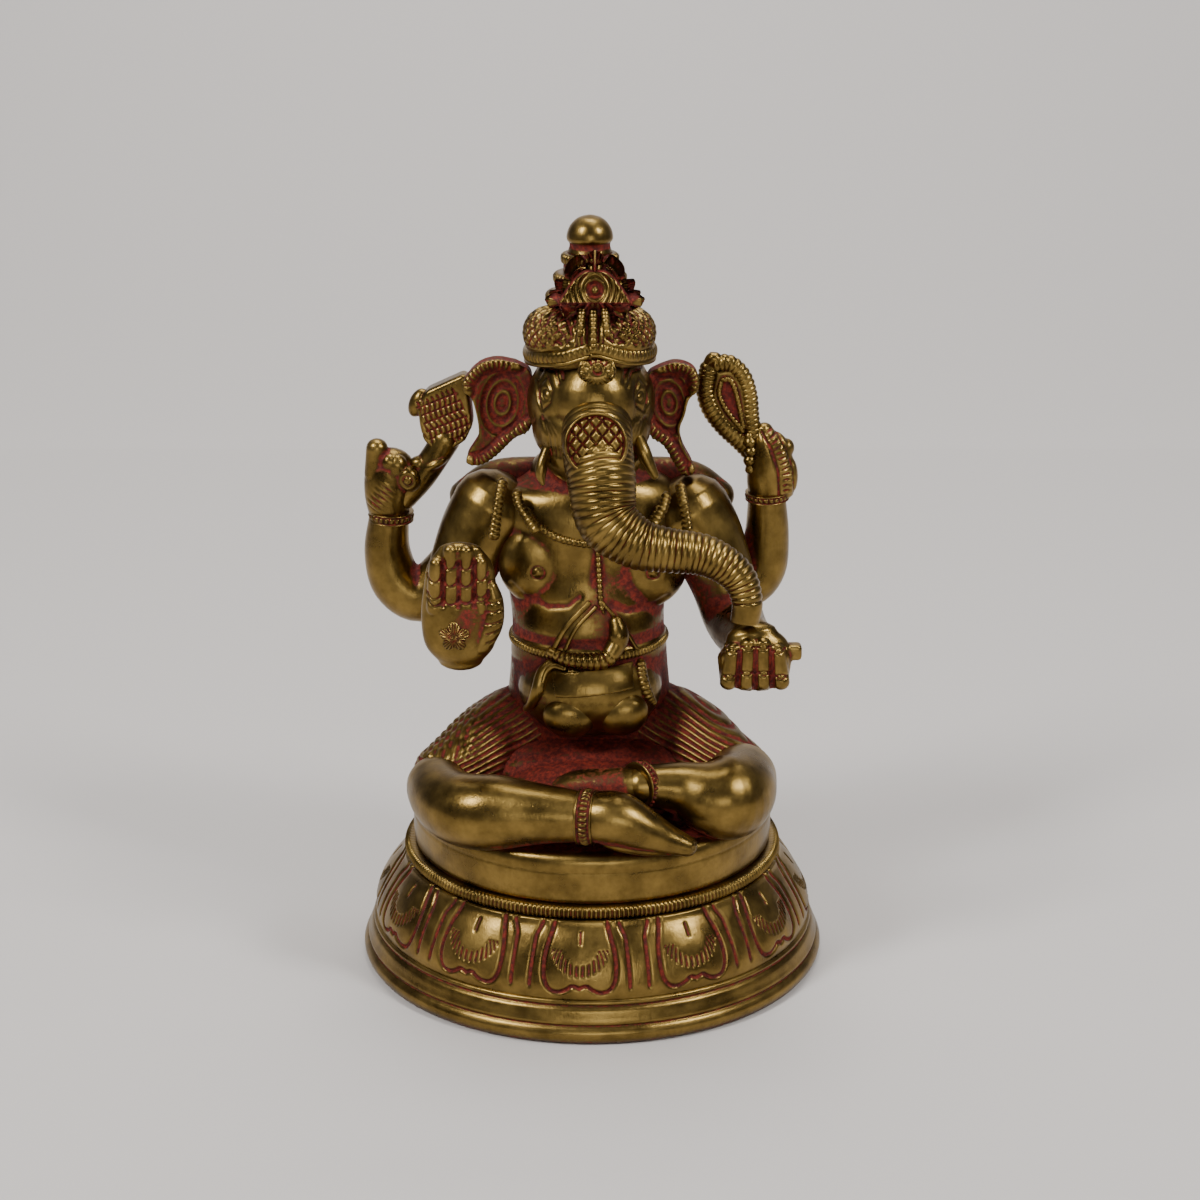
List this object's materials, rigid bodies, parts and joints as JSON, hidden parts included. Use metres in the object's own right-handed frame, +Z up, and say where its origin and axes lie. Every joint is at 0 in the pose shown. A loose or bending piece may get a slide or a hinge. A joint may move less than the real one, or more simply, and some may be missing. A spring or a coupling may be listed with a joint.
{
  "type": "deity statue",
  "caption": "Seated four-armed figure with an elephant's head and stepped crown on an oval lotus base, in cast brass with red pigment.",
  "frame": {"origin": "middle of the base's underside", "axes": "+Z up, figure faces -Y, its left hand at +X"},
  "size_m": [0.1, 0.092, 0.1596],
  "materials": {
    "cast_brass": "hand-chased cast brass, rubbed bright on high places, dull olive elsewhere",
    "pigment_rubbed_brass": "cast brass covered with dark red powder pigment"
  },
  "bodies": {
    "root": {"axe": "cast_brass", "bead_ring": "cast_brass", "belly": "cast_brass", "belly_plate": "cast_brass", "belt_tabs": "cast_brass", "brow_jewel": "cast_brass", "chest_strand": "cast_brass", "crown_bands": "cast_brass", "crown_dome": "cast_brass", "crown_finial": "cast_brass", "crown_rosette": "cast_brass", "crown_strands": "cast_brass", "crown_tier_high": "cast_brass", "crown_tier_low": "cast_brass", "crown_tier_middle": "cast_brass", "front_left_arm": "cast_brass", "front_left_hand": "cast_brass", "front_right_arm": "cast_brass", "front_right_hand": "cast_brass", "head": "cast_brass", "hips": "pigment_rubbed_brass", "lap_cloth": "pigment_rubbed_brass", "left_anklet": "cast_brass", "left_crown_lobe": "cast_brass", "left_ear": "cast_brass", "left_foot": "cast_brass", "left_shin": "cast_brass", "left_thigh": "cast_brass", "left_tusk": "cast_brass", "lotus_base": "cast_brass", "neck": "cast_brass", "necklace": "cast_brass", "noose": "cast_brass", "palm_flower": "cast_brass", "rear_left_arm": "cast_brass", "rear_left_bracelet": "cast_brass", "rear_left_hand": "cast_brass", "rear_right_arm": "cast_brass", "rear_right_bracelet": "cast_brass", "rear_right_hand": "cast_brass", "right_anklet": "cast_brass", "right_crown_lobe": "cast_brass", "right_ear": "cast_brass", "right_foot": "cast_brass", "right_shin": "cast_brass", "right_thigh": "cast_brass", "right_tusk": "cast_brass", "sacred_thread": "cast_brass", "seat_block": "cast_brass", "shoulder_cape": "pigment_rubbed_brass", "shoulder_tassels": "cast_brass", "snake_belt": "cast_brass", "torso": "cast_brass", "trunk": "cast_brass", "trunk_boss": "cast_brass", "waist_belt": "cast_brass"}
  },
  "joints": []
}
